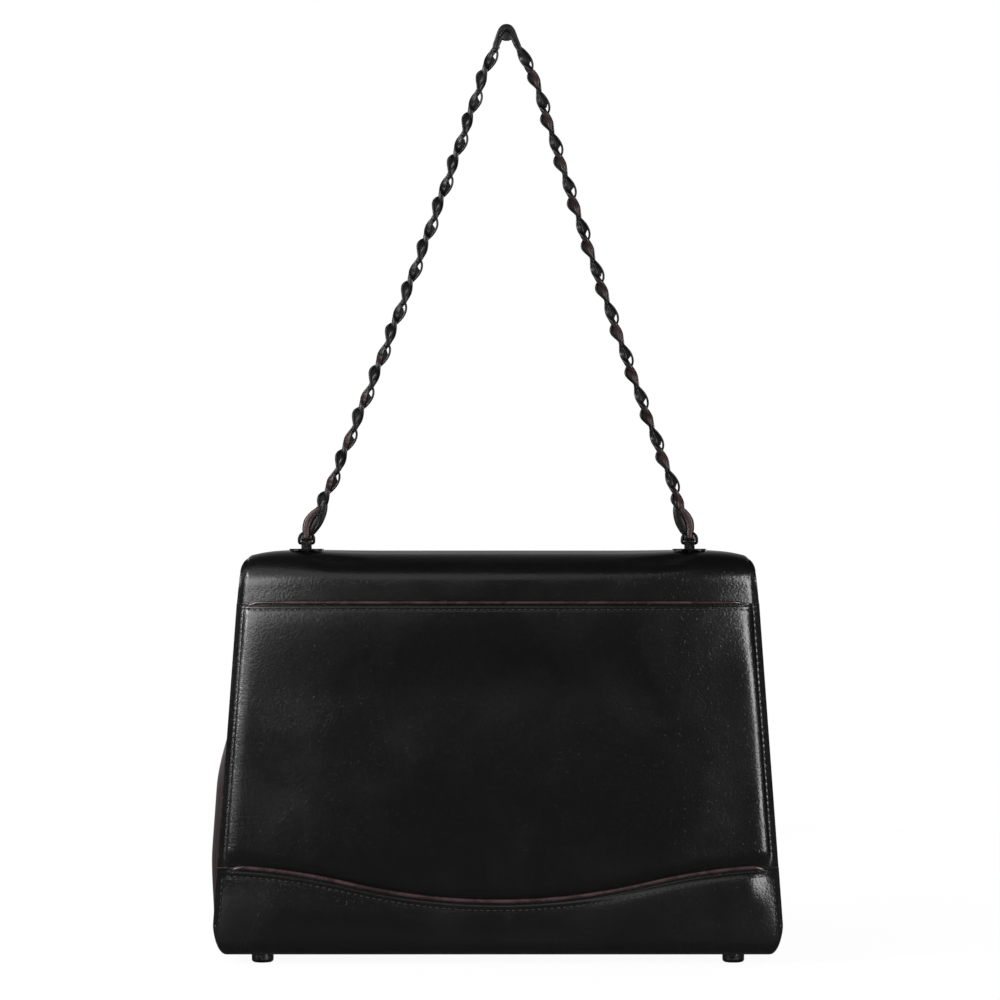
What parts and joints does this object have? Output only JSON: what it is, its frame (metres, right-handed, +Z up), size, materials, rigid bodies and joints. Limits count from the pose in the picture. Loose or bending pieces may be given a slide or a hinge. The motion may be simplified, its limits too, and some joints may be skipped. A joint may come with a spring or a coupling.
{
  "type": "chain shoulder bag",
  "caption": "Structured leather shoulder bag on metal feet, with a folding flap, turn lock, back slip pocket, curved base band and a chain strap woven with leather lace.",
  "frame": {"origin": "on the floor under the feet, at the middle of the bag's length and depth", "axes": "+X along the bag to the right seen from the pocket side, +Y towards the flap front, +Z up the strap"},
  "size_m": [0.2794, 0.0814, 0.4641],
  "materials": {
    "black_leather": "smooth polished calf, semi-gloss, fine grain",
    "burgundy_edge": "folded burgundy-brown leather edge, satin",
    "lining_leather": "soft matt lining leather",
    "strap_lace": "black lace with burgundy-brown edges, satin",
    "black_metal": "black plated metal, semi-gloss",
    "plain_steel": "plain bright steel",
    "stiff_board": "plain stiffening board"
  },
  "bodies": {
    "bag_body": {"back_panel": "black_leather", "back_pocket_panel": "black_leather", "front_panel": "black_leather", "base_band": "black_leather", "left_gusset": "black_leather", "right_gusset": "black_leather", "mouth_binding": "black_leather", "pocket_piping": "burgundy_edge", "base_piping_back": "burgundy_edge", "base_piping_front": "burgundy_edge", "lining_back": "lining_leather", "lining_front": "lining_leather", "lining_left": "lining_leather", "lining_right": "lining_leather", "lining_base": "lining_leather", "inner_slip_pocket": "lining_leather", "strap_anchor_left": "black_metal", "strap_anchor_right": "black_metal", "feet": "black_metal", "lock_base_plate": "black_metal", "toggle_screw": "black_metal", "lock_rivets": "black_metal", "foot_screws": "plain_steel", "foot_washers": "plain_steel", "anchor_washers": "plain_steel", "anchor_nuts": "plain_steel", "lock_washer": "plain_steel", "base_board": "stiff_board", "top_stiffener": "stiff_board"},
    "flap_top": {"flap_top_panel": "black_leather", "flap_top_lining": "lining_leather"},
    "flap_front": {"flap_front_panel": "black_leather", "flap_front_lining": "lining_leather", "flap_edge_piping": "burgundy_edge", "lock_eyelet_plate": "black_metal", "lock_eyelet_back": "plain_steel", "eyelet_rivets": "black_metal"},
    "toggle": {"turn_toggle": "black_metal"},
    "strap_lower": {"strap_end_rings": "black_metal", "chain_links_lower": "black_metal", "chain_lace_lower": "strap_lace"},
    "strap_middle": {"chain_links_middle": "black_metal", "chain_lace_middle": "strap_lace"},
    "strap_upper": {"chain_links_upper": "black_metal", "chain_lace_upper": "strap_lace"}
  },
  "joints": [
    {"name": "flap_top_lift", "type": "hinge", "parent": "bag_body", "child": "flap_top", "pos_m": [0, 0.00004, 0.2025], "axis": [1, 0, 0], "range_deg": [0, 60]},
    {"name": "flap_lift", "type": "hinge", "parent": "flap_top", "child": "flap_front", "pos_m": [0, 0.02984, 0.1999], "axis": [1, 0, 0], "range_deg": [0, 120]},
    {"name": "toggle_turn", "type": "hinge", "parent": "bag_body", "child": "toggle", "pos_m": [0, 0.03343, 0.10497], "axis": [0, 0.9993, 0.0379], "range_deg": [0, 90]},
    {"name": "strap_swing", "type": "hinge", "parent": "bag_body", "child": "strap_lower", "pos_m": [0, -0.01396, 0.2062], "axis": [1, 0, 0], "range_deg": [0, 85]},
    {"name": "strap_knee_low", "type": "hinge", "parent": "strap_lower", "child": "strap_middle", "pos_m": [0, -0.01396, 0.23223], "axis": [1, 0, 0], "range_deg": [0, 34]},
    {"name": "strap_knee_high", "type": "hinge", "parent": "strap_middle", "child": "strap_upper", "pos_m": [0, -0.01396, 0.25317], "axis": [1, 0, 0], "range_deg": [0, 34]}
  ],
  "couplings": [
    {"joint": "flap_top_lift", "follows": "flap_lift", "ratio": 0.5}
  ]
}
